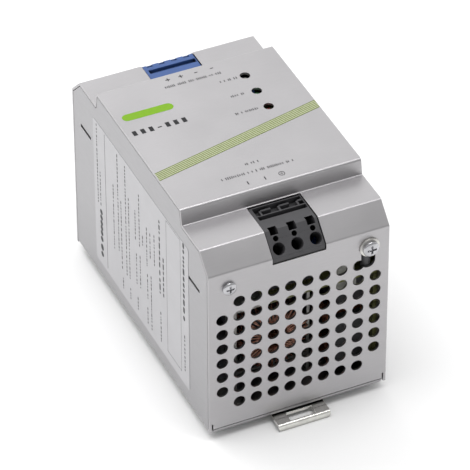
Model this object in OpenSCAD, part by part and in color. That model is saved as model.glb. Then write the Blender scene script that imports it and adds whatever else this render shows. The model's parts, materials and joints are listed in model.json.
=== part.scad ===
// DIN rail power supply, lying on its rail side with its front face up.
// X runs along the rail, Y from the input end to the output end (up when mounted),
// Z out of the front. The origin is the middle of the back, where the rail bears.

/* [Case] */
// Width of the case along the rail
case_w = 75; // [74:1:80]
// Length of the case between its two perforated ends
case_l = 130; // [129:1:134]
// Height of the front face above the rail
front_z = 92; // [91.5:0.5:94]
// Height of the two stepped shoulders that carry the terminals
shoulder_z = 85.3; // [85:0.1:86]
// Height at which the end walls turn into the 45 degree chamfers
chamfer_z = 77.5; // [77:0.1:78]
// Distance from the middle to the foot of each riser
riser_foot_y = 41.3; // [41:0.1:42]
// Distance from the middle to the top of each riser
riser_top_y = 40; // [39.5:0.1:40.5]
// Thickness of the case's sheet steel
sheet = 1; // [0.9:0.05:1.1]
// Outside radius of the folds in the hood
fold_r = 1.4; // [1.2:0.1:1.8]
// Outside radius of the two long folds of the chassis
pan_r = 2.2; // [1.5:0.1:3]
// Gap where two sheets meet
seam = 0.3; // [0.2:0.05:0.4]

/* [Perforation] */
// Hole pitch, the same both ways
hole_pitch = 7.1; // [6.9:0.1:7.2]
// Diameter of one hole
hole_d = 4.8; // [4:0.1:5.2]
// Height of the top row
hole_top_z = 62.4; // [62:0.1:63]
// Number of columns
hole_columns = 10; // [10]
// Number of rows, of which the outer columns lack the first and last
hole_rows = 8; // [4:1:8]

/* [Terminals] */
// Width of the cut-out over each terminal block
block_cut_w = 22.2; // [22:0.1:23]
// Height at which the cut-out ends in the end wall
block_cut_z = 74.9; // [74.5:0.1:75.5]
// Pitch of the three input poles
input_pitch = 7.65; // [7.5:0.05:7.7]
// Pitch of the four output poles
output_pitch = 5.2; // [5.1:0.05:5.3]

/* [Rail foot] */
// Width of the rail that the hooks take
rail_w = 35; // [35]
// Travel of the foot when its tab is pulled
foot_travel = 5; // [4:0.5:5]
// Width of the tab
tab_w = 22; // [20:1:24]
// Width of the tool window in the tab
tab_window_w = 11; // [9:1:12]

/* [Indicators] */
// Distance of the adjust hole and the lamp holes from the middle line
indicator_x = 19.65; // [19:0.05:20.5]
// Place of the adjust hole along the case
adjust_y = 26.3; // [26:0.1:27]
// Pitch of the three front holes
indicator_pitch = 10.9; // [10.8:0.1:11]
// Diameter of the three front holes
indicator_d = 4.1; // [4:0.1:5]

/* [Hidden] */

$fn = 48;
half_w = case_w / 2;
half_l = case_l / 2;
eps = 0.01;

// Pan lip and hood foot
lip_z = 1.9;
hood_foot_z = lip_z + seam;
notch_w = 0.6;
notch_x = half_w - 1.3;
notch_top_z = 4.75;

// Hood fixings, the same on both ends
screw_x = 29.1;
screw_z = 70.3;
earth_slot_w = 5.9;
earth_slot_bottom_z = 60.3;
ear_w = 12.5;
ear_bottom_z = 67.2;
ear_top_z = 75.6;
ear_y = half_l - sheet - seam;

// Side wall slits
slit_y = 51.8;
slit_z = 65;
slit_l = 10.2;
slit_h = 1.5;

// Rating label on the left wall
label_y = [-46.9, 44];
label_z = [8, 78];
label_t = 0.12;

// Rail foot
clip_t = 1.2;
rail_lip_gap = 1.3;
hook_tip = 2.5;
rail_edge = rail_w / 2;
slider_top_z = -0.3;
slider_bottom_z = slider_top_z - clip_t;
tab_bend_y = -70.2;
tab_lip_z = -3.3;
window_y = [-69.95, -65.5];
guide_gap = 0.2;
guide_y = [-56.5, -30];
guide_l = 6;
guide_half = 15.5;
guide_foot = 6;
spring_y = [-52.4, -38.6];
spring_z = -1.7;
spring_r = 0.95;
spring_wire = 0.5;
spring_turns = 9;
rivet_r = 1.5;
rivet_clear = 0.05;
rivet_head_h = 0.7;
hook_rivets = [[-19, 28], [19, 28]];
guide_rivet_x = guide_half + clip_t + guide_foot / 2;
choke_rivets = [[-30, -44], [18.4, -44]];

// Terminal blocks, drawn at the input end and mirrored for the output end
block_w = 21.6;
block_inset = 0.4;
block_back_y = 42.2;
block_bottom_z = 60;
block_toe_y = 61.4;
block_toe_z = 66;
pole_offset = 0.36;
pair_gap = 0.12;
wire_slope = 3.35;
test_slope = 7.4;
tool_slope = 10.5;
funnel_depth = 1.2;
chamber_depth = 7;
chamber_y = [46.2, 60.6];
chamber_z = 77.4;
clamp_y = 58.6;
clamp_z = 66.4;
clamp_roll_r = 0.8;
clamp_leaf = 10.4;
clamp_t = 0.5;
clamp_rest = 20;
busbar_y = 47.2;

// Boards
board_t = 1.6;
board_face_x = 33;
board_y = 61.5;
board_z = [3, 77];
end_board_z = 54.4;
end_board_x = [-12, board_face_x - 0.4];
end_board_y = [43, 62.4];
pillar_at = [[-56, 5.6], [57, 5.6], [-2, 74.4], [57, 74.4]];
pillar_r = 2.5;

// Indicator board
ind_board_x = [12, board_face_x - 0.4];
ind_board_y = [-2, 33];
ind_board_z = 78;
lamp_y = [for (i = [1:2]) adjust_y - i * indicator_pitch];
trimmer_top_z = 84.6;

steel = [0.76, 0.76, 0.77];
plated = [0.80, 0.80, 0.76];
zinc = [0.66, 0.67, 0.68];
black = [0.10, 0.10, 0.11];
block_grey = [0.31, 0.31, 0.32];
block_blue = [0.19, 0.37, 0.66];
board_green = [0.33, 0.40, 0.20];
copper = [0.70, 0.36, 0.22];
ferrite = [0.20, 0.20, 0.21];
nylon = [0.86, 0.86, 0.82];
aluminium = [0.74, 0.75, 0.76];

// ---- 2D helpers for folded sheet ----

function unit(v) = v / norm(v);
function left_of(v) = [-v[1], v[0]];

// Corner of a path moved sideways by d, to the left of its direction
function mitre(a, b, c, d) =
    let (n1 = left_of(unit(b - a)), n2 = left_of(unit(c - b)))
    b + d * (n1 + n2) / (1 + n1 * n2);

// Points of the arc that rounds the corner b between a and c
function corner_arc(a, b, c, r, steps = 5) =
    let (u = unit(a - b), v = unit(c - b), half = acos(u * v) / 2,
         centre = b + unit(u + v) * r / sin(half),
         p = b + u * r / tan(half) - centre,
         q = b + v * r / tan(half) - centre)
    [for (i = [0:steps]) centre + unit(p * (steps - i) + q * i) * r];

function end_shift(a, b, at, d) = at + d * left_of(unit(b - a));

// The path moved to its left by d, with its folds rounded.
// The radius is r on the outside of a fold, and r less the sheet inside it.
function skin_line(path, r, d) =
    let (last = len(path) - 1,
         moved = [for (i = [0:last])
            i == 0 ? end_shift(path[0], path[1], path[0], d) :
            i == last ? end_shift(path[last - 1], path[last], path[last], d) :
            mitre(path[i - 1], path[i], path[i + 1], d)])
    concat([moved[0]],
           [for (i = [1:last - 1])
               let (turn = cross(path[i] - path[i - 1], path[i + 1] - path[i]))
               each corner_arc(moved[i - 1], moved[i], moved[i + 1],
                               turn < 0 ? r + d : r - sheet - d)],
           [moved[last]]);

function reversed(v) = [for (i = [len(v) - 1:-1:0]) v[i]];
function folded(path, r) = concat(skin_line(path, r, 0), reversed(skin_line(path, r, -sheet)));

// Outer line of the hood in Y and Z, from the foot of the input wall to that of the output wall
half_hood = [[-half_l, hood_foot_z], [-half_l, chamfer_z],
             [-half_l + shoulder_z - chamfer_z, shoulder_z],
             [-riser_foot_y, shoulder_z], [-riser_top_y, front_z]];
hood_path = concat(half_hood, [for (p = reversed(half_hood)) [-p[0], p[1]]]);
hole_xs = [for (i = [0:hole_columns - 1]) (i - (hole_columns - 1) / 2) * hole_pitch];
hole_zs = [for (i = [0:hole_rows - 1]) hole_top_z - i * hole_pitch];

// A Y-Z outline extruded across the case
module across(w) {
    rotate([90, 0, 90]) linear_extrude(height = w, center = true) children();
}

// A cylinder along +Y from y, at x and z
module rod_y(x, y, z, r, l) {
    translate([x, y, z]) rotate([-90, 0, 0]) cylinder(r = r, h = l);
}

// Box from its low corner to its high corner
module block(low, high) {
    translate(low) cube([high[0] - low[0], high[1] - low[1], high[2] - low[2]]);
}

module perforation() {
    for (i = [0:hole_columns - 1]) {
        for (j = [0:hole_rows - 1]) {
            outer = i == 0 || i == hole_columns - 1;
            if (!(outer && (j == 0 || j == hole_rows - 1))) {
                translate([hole_xs[i], hole_zs[j]]) circle(d = hole_d);
            }
        }
    }
}

// ---- Case ----

// End wall of the hood as seen from outside, with its perforation and corner reliefs
module end_wall_outline(top) {
    difference() {
        translate([-half_w, 0.6]) square([case_w, top - 0.6]);
        translate([-notch_x, -eps]) square([2 * notch_x, hood_foot_z + eps]);
        for (s = [-1, 1]) {
            translate([s * notch_x - notch_w / 2, -eps]) square([notch_w, notch_top_z]);
        }
        perforation();
    }
}

module end_wall(earth) {
    top = chamfer_z - fold_r;
    translate([0, -half_l + sheet, 0]) rotate([90, 0, 0]) linear_extrude(height = sheet)
        difference() {
            end_wall_outline(top);
            translate([-screw_x, screw_z]) circle(r = 1.6);
            if (earth) {
                translate([screw_x - 0.3, earth_slot_bottom_z + earth_slot_w / 2])
                    circle(d = earth_slot_w);
                translate([screw_x - 0.3 - earth_slot_w / 2, earth_slot_bottom_z + earth_slot_w / 2])
                    square([earth_slot_w, screw_z - earth_slot_bottom_z - earth_slot_w / 2]);
                translate([screw_x - 0.3, screw_z]) circle(d = earth_slot_w);
            } else {
                translate([screw_x, screw_z]) circle(r = 1.6);
            }
        }
}

module front_hood() {
    color(steel) difference() {
        union() {
            end_wall(true);
            mirror([0, 1, 0]) end_wall(false);
            intersection() {
                across(case_w) polygon(folded(hood_path, fold_r));
                block([-half_w - 1, -half_l - 1, chamfer_z - fold_r],
                      [half_w + 1, half_l + 1, front_z + 1]);
            }
        }
        for (s = [0, 1]) {
            mirror([0, s, 0]) block([-block_cut_w / 2, -half_l - 1, block_cut_z],
                                    [block_cut_w / 2, -riser_foot_y - 0.4, front_z]);
        }
        for (i = [0:2]) {
            translate([indicator_x, adjust_y - i * indicator_pitch, front_z - sheet - 1])
                cylinder(d = indicator_d, h = sheet + 2);
        }
    }
}

// Inside outline of the hood, less a seam, for the tops of the side walls
module side_outline() {
    inner = skin_line(hood_path, fold_r, -sheet - seam);
    polygon(concat([[-half_l + sheet + seam, pan_r]],
                   [for (p = inner) if (p[1] > pan_r) p],
                   [[half_l - sheet - seam, pan_r]]));
}

module ear(x_sign, hole_r) {
    scale([x_sign, 1, 1]) difference() {
        block([half_w - sheet - ear_w, -ear_y, ear_bottom_z], [half_w - sheet / 2, -ear_y + sheet, ear_top_z]);
        rod_y(screw_x, -ear_y - 1, screw_z, hole_r, sheet + 2);
    }
}

// Folded pan: the back with its end lips, and the two long folds up into the side walls
module chassis() {
    wall_l = 2 * (half_l - sheet - seam);
    pan = [[-half_w, pan_r + 2], [-half_w, 0], [half_w, 0], [half_w, pan_r + 2]];
    back = [[-half_l, lip_z], [-half_l, 0], [half_l, 0], [half_l, lip_z]];
    color(steel) difference() {
        union() {
            rotate([90, 0, 0]) linear_extrude(height = wall_l, center = true)
                polygon(concat(pan_line(pan, pan_r, 0), reversed(pan_line(pan, pan_r, -sheet))));
            across(2 * notch_x - 2 * notch_w)
                polygon(concat(pan_line(back, 1.3, 0), reversed(pan_line(back, 1.3, -sheet))));
            for (s = [-1, 1]) {
                difference() {
                    translate([s * (half_w - sheet / 2), 0, 0]) across(sheet) side_outline();
                    for (t = [-1, 1]) {
                        translate([s * half_w, t * slit_y, slit_z])
                            cube([3 * sheet, slit_l, slit_h], center = true);
                    }
                }
            }
            ear(-1, 1.5);
            ear(1, 2.05);
            mirror([0, 1, 0]) ear(-1, 1.5);
            mirror([0, 1, 0]) ear(1, 1.5);
        }
        for (p = concat(hook_rivets, choke_rivets)) {
            translate([p[0], p[1], -1]) cylinder(r = rivet_r + rivet_clear, h = sheet + 2);
        }
        for (s = [-1, 1]) {
            for (y = guide_y) {
                translate([s * guide_rivet_x, y, -1]) cylinder(r = rivet_r + rivet_clear, h = sheet + 2);
            }
        }
        for (p = pillar_at) {
            translate([half_w - 3 * sheet, p[0], p[1]]) rotate([0, 90, 0]) cylinder(r = 1.4, h = 6);
        }
    }
}

// The same as skin_line(), for a path that turns left at its folds
function pan_line(path, r, d) =
    reversed(skin_line(reversed(path), r, d));

module rating_label() {
    color([0.83, 0.83, 0.84])
        block([-half_w - label_t, label_y[0], label_z[0]], [-half_w, label_y[1], label_z[1]]);
}

// ---- Fixings ----

module cross_recess(size, depth) {
    for (a = [0, 90]) {
        rotate([0, 0, a]) translate([0, 0, depth / 2])
            cube([size, size * 0.22, depth + 2 * eps], center = true);
    }
}

// Pan-head screw whose head sits on z = 0 and stands up to z = head_h
module pan_screw(r, l, head_r, head_h) {
    difference() {
        union() {
            translate([0, 0, -l]) cylinder(r = r, h = l + eps);
            cylinder(r = head_r, h = head_h * 0.55);
            translate([0, 0, head_h * 0.55])
                rotate_extrude() dome_outline(head_r, head_h * 0.45);
        }
        translate([0, 0, head_h * 0.35]) cross_recess(head_r * 1.15, head_h * 0.65);
    }
}

module dome_outline(r, h, steps = 6) {
    polygon(concat([[0, 0]], [for (i = [0:steps]) [r * cos(i * 90 / steps), h * sin(i * 90 / steps)]]));
}

module hood_screws() {
    color(zinc) {
        translate([-screw_x, -half_l, screw_z]) rotate([90, 0, 0]) pan_screw(1.45, 6, 2.8, 1.7);
        for (s = [-1, 1]) {
            translate([s * screw_x, half_l, screw_z]) rotate([-90, 0, 0]) pan_screw(1.45, 6, 2.8, 1.7);
        }
    }
}

module earth_screw() {
    color(zinc) translate([screw_x, -half_l - 0.8, screw_z]) rotate([90, 0, 0])
        pan_screw(1.95, 9.5, 3.3, 2);
}

module earth_washer() {
    color(zinc) difference() {
        rod_y(screw_x, -half_l - 0.8, screw_z, 4.1, 0.8);
        rod_y(screw_x, -half_l - 1.8, screw_z, 2.1, 3);
    }
}

// Ring terminal behind the right ear, with its barrel hanging down
module earth_lug() {
    ring_y = -ear_y + sheet + 0.05;
    color(plated) difference() {
        union() {
            rod_y(screw_x, ring_y, screw_z, 3.9, 0.8);
            block([screw_x - 1.8, ring_y, 65.4], [screw_x + 1.8, ring_y + 0.8, screw_z - 3]);
            translate([screw_x, ring_y + 0.8, 62]) cylinder(r = 1.5, h = 4.1);
        }
        rod_y(screw_x, ring_y - 1, screw_z, 2.05, 3);
        translate([screw_x, ring_y + 0.8, 61]) cylinder(r = 1.12, h = 4.6);
    }
}

module earth_nut() {
    color(zinc) translate([screw_x, -ear_y + sheet + 0.9, screw_z]) rotate([-90, 30, 0]) difference() {
        cylinder(r = 4, h = 3, $fn = 6);
        translate([0, 0, -1]) cylinder(r = 2.0, h = 5, $fn = 48);
    }
}

module earth_sleeve() {
    color(black) translate([screw_x, -ear_y + sheet + 0.85, 59.4]) difference() {
        cylinder(r = 1.95, h = 5.9);
        translate([0, 0, -1]) cylinder(r = 1.55, h = 9);
    }
}

module earth_wire() {
    color([0.35, 0.60, 0.20]) translate([screw_x, -ear_y + sheet + 0.85, end_board_z + board_t])
        cylinder(r = 1.1, h = 9.4);
}

// ---- Rail foot ----

module rail_hooks() {
    color(plated) difference() {
        union() {
            block([-25, rail_edge + 0.3, -clip_t], [25, 35, 0]);
            for (s = [-1, 1]) {
                translate([s * 18, 0, 0]) {
                    block([-6, rail_edge + 0.3, -hook_tip], [6, rail_edge + 0.3 + clip_t, -clip_t + eps]);
                    block([-6, rail_edge - hook_tip, -hook_tip],
                          [6, rail_edge + 0.3 + eps, -rail_lip_gap]);
                }
            }
        }
        for (p = hook_rivets) {
            translate([p[0], p[1], -3]) cylinder(r = rivet_r + rivet_clear, h = 4);
        }
    }
}

// Two straps that hold the slider against the back; the outer one has the spring's fixed lug
module foot_guides() {
    bridge_top = slider_bottom_z - guide_gap;
    bridge_bottom = bridge_top - clip_t;
    color(plated) for (i = [0, 1]) {
        difference() {
            translate([0, guide_y[i], 0]) {
                block([-guide_half - clip_t, -guide_l / 2, bridge_bottom],
                      [guide_half + clip_t, guide_l / 2, bridge_top]);
                for (s = [-1, 1]) {
                    scale([s, 1, 1]) {
                        block([guide_half, -guide_l / 2, bridge_bottom], [guide_half + clip_t, guide_l / 2, 0]);
                        block([guide_half, -guide_l / 2, -clip_t],
                              [guide_half + clip_t + guide_foot, guide_l / 2, 0]);
                    }
                }
                if (i == 0) {
                    block([-1.4, guide_l / 2 - eps, bridge_bottom],
                          [1.4, spring_y[0] - guide_y[0], slider_top_z - 0.2]);
                }
            }
            for (s = [-1, 1]) {
                translate([s * guide_rivet_x, guide_y[i], -3]) cylinder(r = rivet_r + rivet_clear, h = 4);
            }
        }
    }
}

// Sliding plate: hook for the rail's lower edge at one end, bent tab with a tool window at the other
module foot_slider() {
    nose_y = -rail_edge + hook_tip - 0.2;
    color(plated) difference() {
        union() {
            difference() {
                union() {
                    block([-14.5, -61, slider_bottom_z], [14.5, -rail_edge - 0.5, slider_top_z]);
                    block([-tab_w / 2, tab_bend_y, slider_bottom_z], [tab_w / 2, -60, slider_top_z]);
                }
                block([-tab_window_w / 2, window_y[0], -3], [tab_window_w / 2, window_y[1], 1]);
                block([-2.1, -54.6 - foot_travel, -3], [2.1, spring_y[1], 1]);
            }
            intersection() {
                tab_bend();
                tab_corners();
            }
            block([-9, -rail_edge - 0.5 - clip_t, slider_bottom_z - clip_t],
                  [9, -rail_edge - 0.5, slider_bottom_z + eps]);
            block([-9, -rail_edge - 0.5 - clip_t, slider_bottom_z - clip_t], [9, nose_y, slider_bottom_z]);
        }
    }
}

// The quarter bend and the lip below it
module tab_bend() {
    translate([0, tab_bend_y, slider_bottom_z]) rotate([0, -90, 0])
        linear_extrude(height = tab_w, center = true) intersection() {
            circle(r = clip_t);
            translate([0, -clip_t]) square([clip_t, clip_t]);
        }
    block([-tab_w / 2, tab_bend_y - clip_t, tab_lip_z], [tab_w / 2, tab_bend_y, slider_bottom_z + eps]);
}

module tab_corners() {
    r = 1.4;
    translate([0, tab_bend_y - 3, 0]) rotate([-90, 0, 0]) linear_extrude(height = 6) union() {
        translate([-tab_w / 2, -1]) square([tab_w, -tab_lip_z + 1 - r]);
        translate([-tab_w / 2 + r, -1]) square([tab_w - 2 * r, -tab_lip_z + 1]);
        for (s = [-1, 1]) {
            translate([s * (tab_w / 2 - r), -tab_lip_z - r]) circle(r = r);
        }
    }
}

// Compression spring, one turn as a ring with flat ground ends
module foot_spring() {
    length = spring_y[1] - spring_y[0] - 0.2;
    pitch = (length - spring_wire) / (spring_turns - 1);
    color([0.55, 0.56, 0.58]) for (i = [0:spring_turns - 1]) {
        translate([0, spring_y[0] + 0.1 + spring_wire / 2 + i * pitch, spring_z]) rotate([-90, 0, 0])
            rotate_extrude() translate([spring_r, 0]) circle(d = spring_wire, $fn = 16);
    }
}

module rivet(head_z, tail_z) {
    translate([0, 0, head_z - rivet_head_h / 2]) cylinder(r = rivet_r, h = tail_z - head_z + rivet_head_h);
    translate([0, 0, head_z - rivet_head_h]) cylinder(r = 2.6, h = rivet_head_h);
    translate([0, 0, tail_z]) cylinder(r = 2.4, h = rivet_head_h);
}

module chassis_rivets() {
    color(zinc) {
        for (p = hook_rivets) {
            translate([p[0], p[1], 0]) rivet(-clip_t, sheet);
        }
        for (s = [-1, 1]) {
            for (y = guide_y) {
                translate([s * guide_rivet_x, y, 0]) rivet(-clip_t, sheet);
            }
        }
        for (p = choke_rivets) {
            translate([p[0], p[1], 0]) rivet(0, sheet + clip_t);
        }
    }
}

// ---- Terminal blocks ----

// Turns what is drawn along -Z into the wire direction: 45 degrees down into the input end
module into_chamfer(x, slope) {
    translate([x, -half_l + slope * cos(45), chamfer_z + slope * sin(45)]) rotate([45, 0, 0]) children();
}

module block_outline() {
    low = -half_l + block_inset;
    drop = block_inset * (sqrt(2) - 1);
    polygon([[low, block_cut_z + 0.3], [low, chamfer_z - drop],
             [-half_l + shoulder_z - chamfer_z + drop, shoulder_z - block_inset],
             [-block_back_y, shoulder_z - block_inset], [-block_back_y, block_bottom_z],
             [-block_toe_y, block_bottom_z], [-block_toe_y, block_toe_z],
             [-ear_y, block_toe_z], [-ear_y, block_cut_z + 0.3]]);
}

// Spring chamber: its upper front corner is cut square to the wire direction
module chamber_outline() {
    level = chamfer_z + half_l - chamber_depth * sqrt(2);
    polygon([[-chamber_y[1], block_bottom_z - 1], [-chamber_y[1], level - chamber_y[1]],
             [chamber_z - level, chamber_z], [-chamber_y[0], chamber_z],
             [-chamber_y[0], block_bottom_z - 1]]);
}

// Place of pole i of n; four poles stand as two pairs
function pole_x(i, n, pitch, offset) =
    (i - (n - 1) / 2) * pitch + offset + (n == 4 ? sign(i - 1.5) * pair_gap / 2 : 0);

// Housing with n spring-clamp poles: funnel, test hole, tool hole, chamber and marker trough
module terminal_housing(n, pitch, offset, wire_r, tool_w, trough_y, trough_depth) {
    chamber_w = pitch - 1.2;
    difference() {
        across(block_w) block_outline();
        for (i = [0:n - 1]) {
            x = pole_x(i, n, pitch, offset);
            into_chamfer(x, wire_slope) {
                translate([0, 0, -chamber_depth - 1]) cylinder(r = wire_r, h = chamber_depth + 4);
                translate([0, 0, -funnel_depth])
                    cylinder(r1 = wire_r, r2 = wire_r + 0.35, h = funnel_depth + block_inset);
            }
            into_chamfer(x, test_slope) translate([0, 0, -9]) cylinder(r = 1.1, h = 12);
            into_chamfer(x, tool_slope) translate([0, 0, -6])
                cube([tool_w, tool_w, 16], center = true);
            translate([x, 0, 0]) across(chamber_w) chamber_outline();
        }
        block([-block_w / 2 + 1.3, -trough_y[1], shoulder_z - trough_depth],
              [block_w / 2 - 0.4, -trough_y[0], shoulder_z + 1]);
        difference() {
            block([-block_w / 2 + 1.3, -47.4, shoulder_z - 3],
                  [block_w / 2 - 0.4, -block_back_y - 0.5, shoulder_z + 1]);
            for (i = [0:n - 1]) {
                x = pole_x(i, n, pitch, offset);
                block([x - 0.4, -48, shoulder_z - 4], [x + 0.4, -44.9, shoulder_z + 2]);
                block([x + 0.6, -44.9, shoulder_z - 4], [x + pitch * 0.62, -44, shoulder_z - 0.8]);
            }
        }
    }
}

// Current bars: an upright plate in each chamber and a round solder pin below
module busbars(n, pitch, offset) {
    for (i = [0:n - 1]) {
        x = pole_x(i, n, pitch, offset);
        block([x - 1.6, -busbar_y, block_bottom_z + 1], [x + 1.6, -busbar_y + 0.8, 74.5]);
        block([x - 1.6, -59.8, block_bottom_z + 1], [x + 1.6, -busbar_y + eps, block_bottom_z + 1.8]);
        translate([x, -busbar_y - 2.5, end_board_z - 1.5])
            cylinder(r = 0.5, h = block_bottom_z + 1 - end_board_z + 1.5 + eps);
        translate([x, -57, end_board_z - 1.5])
            cylinder(r = 0.5, h = block_bottom_z + 1 - end_board_z + 1.5 + eps);
    }
}

// One spring tongue: a rolled root on the hinge axis and a leaf that rises towards the current bar
module clamp(x, w) {
    translate([x, -clamp_y, clamp_z]) rotate([clamp_rest, 0, 0]) {
        rotate([0, 90, 0]) cylinder(r = clamp_roll_r, h = w, center = true);
        block([-w / 2, 0, clamp_roll_r - clamp_t], [w / 2, clamp_leaf, clamp_roll_r]);
        block([-w / 2, clamp_leaf - clamp_t, clamp_roll_r - clamp_t],
              [w / 2, clamp_leaf, clamp_roll_r + 0.9]);
    }
}

module input_clamp(i) {
    color(plated) clamp(pole_x(i, 3, input_pitch, pole_offset), 4.4);
}

module output_clamp(i) {
    color(plated) mirror([0, 1, 0]) clamp(pole_x(i, 4, output_pitch, 0), 3);
}

module input_housing() {
    color(block_grey) terminal_housing(3, input_pitch, pole_offset, 2.3, 3.3, [48, 50.2], 3.4);
}

module output_housing() {
    color(block_blue) mirror([0, 1, 0])
        terminal_housing(4, output_pitch, 0, 1.8, 2.6, [51.4, 53.8], 2);
}

module input_busbars() {
    color(plated) busbars(3, input_pitch, pole_offset);
}

module output_busbars() {
    color(plated) mirror([0, 1, 0]) busbars(4, output_pitch, 0);
}

// ---- Boards ----

// Small board under a terminal block, drawn at the input end
module end_board(n, pitch, offset) {
    difference() {
        block([end_board_x[0], -end_board_y[1], end_board_z],
              [end_board_x[1], -end_board_y[0], end_board_z + board_t]);
        for (i = [0:n - 1]) {
            for (y = [-busbar_y - 2.5, -57]) {
                translate([pole_x(i, n, pitch, offset), y, end_board_z - 1]) cylinder(r = 0.6, h = 4);
            }
        }
    }
}

module input_board() {
    color(board_green) end_board(3, input_pitch, pole_offset);
}

module output_board() {
    color(board_green) mirror([0, 1, 0]) end_board(4, output_pitch, 0);
}

// Nylon connectors that join the end boards and the indicator board to the main board
module board_links() {
    color(nylon) {
        for (s = [0, 1]) {
            mirror([0, s, 0]) {
                block([17, -60, end_board_z + board_t], [25.5, -55, 61.5]);
                block([17, -61.8, end_board_z - 6], [25.5, -57.4, end_board_z]);
            }
        }
        block([board_face_x - 5, 4, ind_board_z - 5.5], [board_face_x, 24, ind_board_z]);
    }
}

// Local X is up, local Y is the case's Y, local Z stands off the board's component side
module on_board(y, z, stand = 0) {
    translate([board_face_x - stand, y, z]) rotate([0, -90, 0]) children();
}

module main_board() {
    color(board_green) difference() {
        block([board_face_x, -board_y, board_z[0]], [board_face_x + board_t, board_y, board_z[1]]);
        for (p = pillar_at) {
            on_board(p[0], p[1], -4) cylinder(r = 1.35, h = 8);
        }
    }
}

module board_standoffs() {
    color(zinc) for (p = pillar_at) {
        on_board(p[0], p[1], -board_t) mirror([0, 0, 1]) difference() {
            cylinder(r = pillar_r, h = half_w - sheet - board_face_x - board_t);
            translate([0, 0, -1]) cylinder(r = 1.3, h = 6);
        }
    }
}

module board_screws() {
    color(zinc) for (p = pillar_at) {
        on_board(p[0], p[1]) pan_screw(1.25, 4.6, 2.3, 1.5);
    }
}

module insulation_sheet() {
    color([0.90, 0.89, 0.80]) difference() {
        block([half_w - sheet - 0.5, -board_y, board_z[0]], [half_w - sheet - 0.2, board_y, board_z[1]]);
        for (p = pillar_at) {
            on_board(p[0], p[1], -5) cylinder(r = pillar_r + 0.5, h = 8);
        }
    }
}

// ---- Input side ----

fuse_at = [-44, 66];
fuse_stand = 6.5;

module fuse() {
    color([0.75, 0.80, 0.82]) translate([board_face_x - fuse_stand, fuse_at[0], fuse_at[1]]) {
        rod_y(0, -5, 0, 2.4, 10);
        for (s = [-1, 1]) {
            rod_y(0, s * 7.5 - 2.5, 0, 2.6, 5);
        }
    }
}

module fuse_clips() {
    color(plated) translate([board_face_x - fuse_stand, fuse_at[0], fuse_at[1]]) {
        for (s = [-1, 1]) {
            difference() {
                union() {
                    rod_y(0, s * 7.5 - 1.6, 0, 3.2, 3.2);
                    block([0, s * 7.5 - 1.6, -3.2], [fuse_stand, s * 7.5 + 1.6, 3.2]);
                }
                rod_y(0, s * 7.5 - 4, 0, 2.65, 8);
                block([-5, s * 7.5 - 4, -1.8], [0, s * 7.5 + 4, 1.8]);
                block([2, s * 7.5 - 4, -2.5], [fuse_stand - 0.7, s * 7.5 + 4, 2.5]);
            }
        }
    }
}

module x_capacitor() {
    color([0.62, 0.64, 0.66]) on_board(-47, 44, 0.4) {
        translate([-7.5, -10, 0]) cube([15, 20, 12.6]);
        for (s = [-1, 1]) {
            translate([0, s * 7.5, -0.4]) cylinder(r = 0.4, h = 0.5);
        }
    }
}

module disc_part(y, z, r, t) {
    on_board(y, z) {
        translate([0, -t / 2, r + 3]) rotate([-90, 0, 0]) cylinder(r = r, h = t);
        for (s = [-1, 1]) {
            translate([s * r * 0.5, 0, 0]) cylinder(r = 0.4, h = 4);
        }
    }
}

module varistor() {
    color([0.16, 0.32, 0.62]) disc_part(-33, 48, 5, 3.6);
}

module inrush_limiter() {
    color([0.15, 0.25, 0.20]) disc_part(-32, 27, 6.5, 4.6);
}

filter_at = [-47, 19];

module filter_choke_core() {
    color(ferrite) on_board(filter_at[0], filter_at[1], 1.2) difference() {
        translate([-11, -11, 0]) cube([22, 22, 13]);
        translate([-6.5, -6.5, -1]) cube([13, 13, 15]);
    }
}

module filter_choke_windings() {
    color(copper) on_board(filter_at[0], filter_at[1], 1.2) for (s = [-1, 1]) {
        translate([s * 8.75, -6, 6.5]) rotate([-90, 0, 0]) difference() {
            translate([-4.2, -7.6, 0]) cube([8.4, 15.2, 12]);
            translate([-2.35, -6.6, -1]) cube([4.7, 13.2, 14]);
        }
    }
}

// Line choke on the back of the case: a wound ring on edge, held in a strap
pfc_mid = [-3.4, -44, 26.2];
pfc_half = 14.7;
pfc_ring = [6.4, 13.1];
pfc_ring_w = 12.4;
pfc_turns = 24;
pfc_wire = 1.2;
pfc_strap_w = 8;

// One square turn of wire round a ring's section of a by h, the ring's axis along Z
module wire_turn(a, h, wire) {
    rotate([90, 0, 0]) difference() {
        cube([a + 2 * wire, h + 2 * wire, wire], center = true);
        cube([a, h, wire + 1], center = true);
    }
}

module pfc_choke_core() {
    color(ferrite) translate(pfc_mid) rotate([90, 0, 0]) rotate_extrude()
        translate([pfc_ring[0], -pfc_ring_w / 2]) square([pfc_ring[1] - pfc_ring[0], pfc_ring_w]);
}

module pfc_choke_winding() {
    color(copper) translate(pfc_mid) rotate([90, 0, 0]) for (i = [0:pfc_turns - 1]) {
        rotate([0, 0, (i + 0.5) * 360 / pfc_turns]) translate([(pfc_ring[0] + pfc_ring[1]) / 2, 0, 0])
            wire_turn(pfc_ring[1] - pfc_ring[0] + 0.3, pfc_ring_w + 0.3, pfc_wire);
    }
}

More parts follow.
